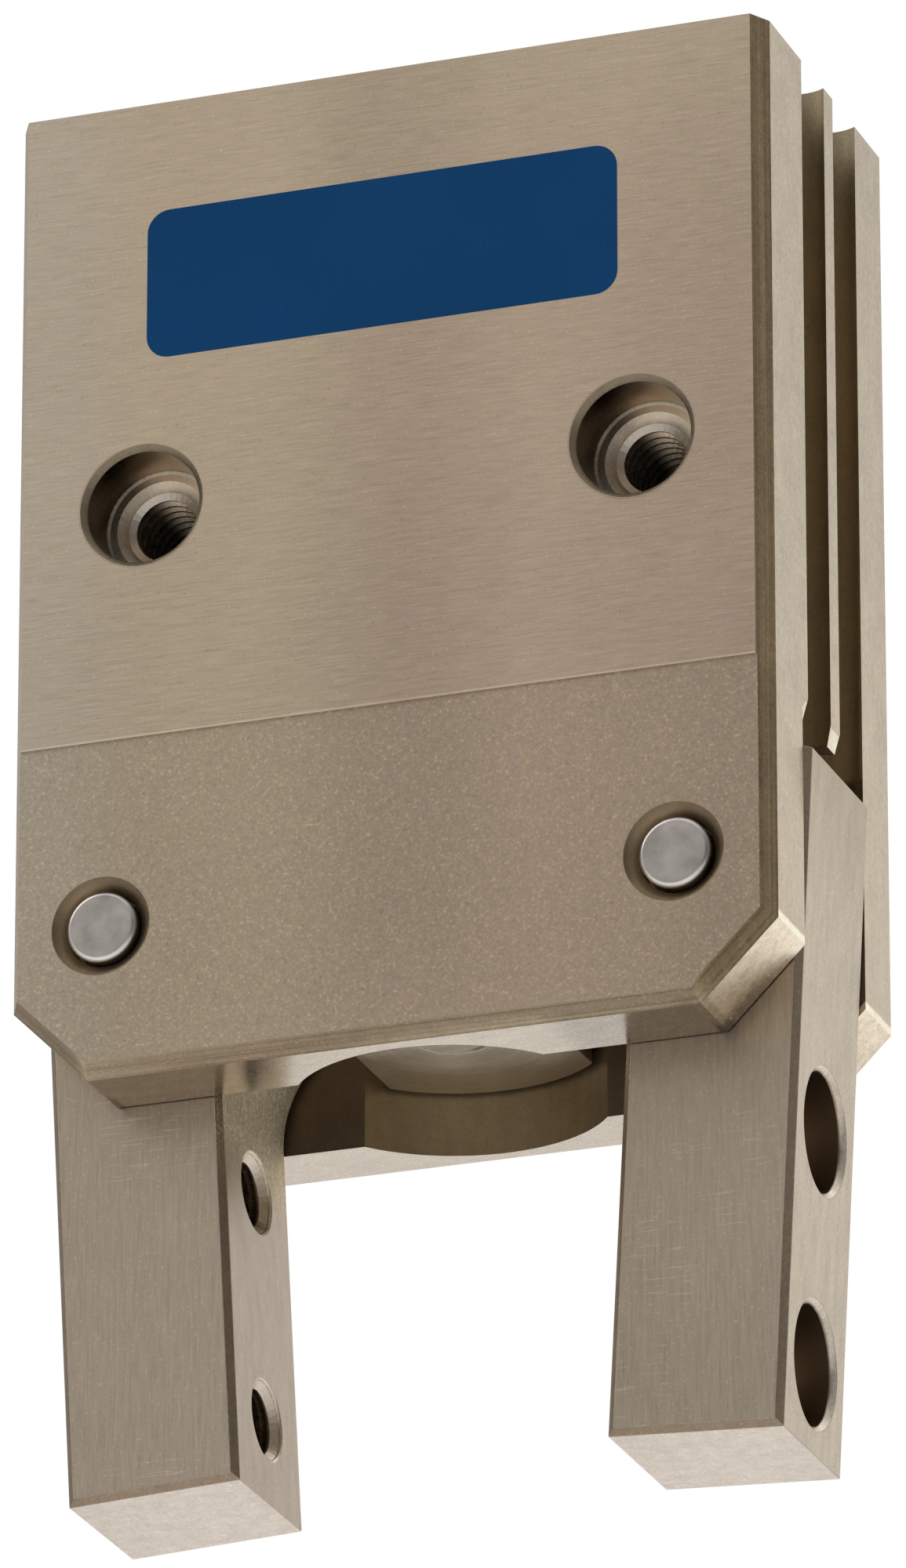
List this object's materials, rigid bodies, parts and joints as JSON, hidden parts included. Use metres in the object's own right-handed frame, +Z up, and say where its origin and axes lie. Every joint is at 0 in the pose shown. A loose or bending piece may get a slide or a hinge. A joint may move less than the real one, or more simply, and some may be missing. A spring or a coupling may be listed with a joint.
{
  "type": "angular gripper",
  "caption": "Slim pneumatic angular gripper: lever-driven base jaws swing on pins below a flat bevelled housing with screw holes and sensor grooves.",
  "frame": {"origin": "middle of the top mounting face, opposite the jaws", "axes": "+Z up out of the mounting face, so the jaws point to -Z; +X towards the right jaw and the sensor grooves; -Y to the front with the counterbores"},
  "size_m": [0.0408, 0.02, 0.0725],
  "materials": {
    "housing_metal": "hard-coated, brushed faces",
    "jaw_metal": "nickel-plated, ground faces",
    "pin_steel": "ground, rounded ends",
    "driver_metal": "turned",
    "piston_metal": "turned",
    "rod_steel": "polished",
    "guide_metal": "turned, anodised",
    "screw_steel": "dark zinc",
    "circlip_steel": "phosphated",
    "bush_bronze": "sintered bronze",
    "magnet": "bonded magnet",
    "seal_rubber": "matt black",
    "guide_ring_plastic": "filled fluoropolymer",
    "bumper_rubber": "cast polyurethane",
    "label_print": "plain dark blue print",
    "thread_metal": "cut threads"
  },
  "bodies": {
    "housing": {"housing": "housing_metal", "left_pivot_pin": "pin_steel", "right_pivot_pin": "pin_steel", "rod_guide": "guide_metal", "guide_o_ring": "seal_rubber", "rod_bush": "bush_bronze", "rod_seal": "seal_rubber", "guide_retaining_ring": "circlip_steel"},
    "piston": {"piston": "piston_metal", "piston_cap": "piston_metal", "magnet_ring": "magnet", "piston_seal": "seal_rubber", "piston_guide_ring": "guide_ring_plastic", "upper_bumper": "bumper_rubber", "lower_bumper": "bumper_rubber", "piston_screw": "screw_steel", "piston_rod": "rod_steel", "rod_o_ring": "seal_rubber", "jaw_driver": "driver_metal", "driver_screw": "screw_steel"},
    "left_jaw": {"left_base_jaw": "jaw_metal", "left_pivot_bush": "bush_bronze"},
    "right_jaw": {"right_base_jaw": "jaw_metal", "right_pivot_bush": "bush_bronze"}
  },
  "joints": [
    {"name": "piston_slide", "type": "slide", "parent": "housing", "child": "piston", "axis": [0, 0, -1], "range_m": [0, 0.00324]},
    {"name": "left_jaw_pivot", "type": "hinge", "parent": "housing", "child": "left_jaw", "pos_m": [-0.015, 0, -0.0443], "axis": [0, 1, 0], "range_deg": [0, 18]},
    {"name": "right_jaw_pivot", "type": "hinge", "parent": "housing", "child": "right_jaw", "pos_m": [0.015, 0, -0.0443], "axis": [0, -1, 0], "range_deg": [0, 18]}
  ],
  "couplings": [
    {"joint": "left_jaw_pivot", "follows": "piston_slide", "rad_per_m": 96.996},
    {"joint": "right_jaw_pivot", "follows": "piston_slide", "rad_per_m": 96.996}
  ]
}
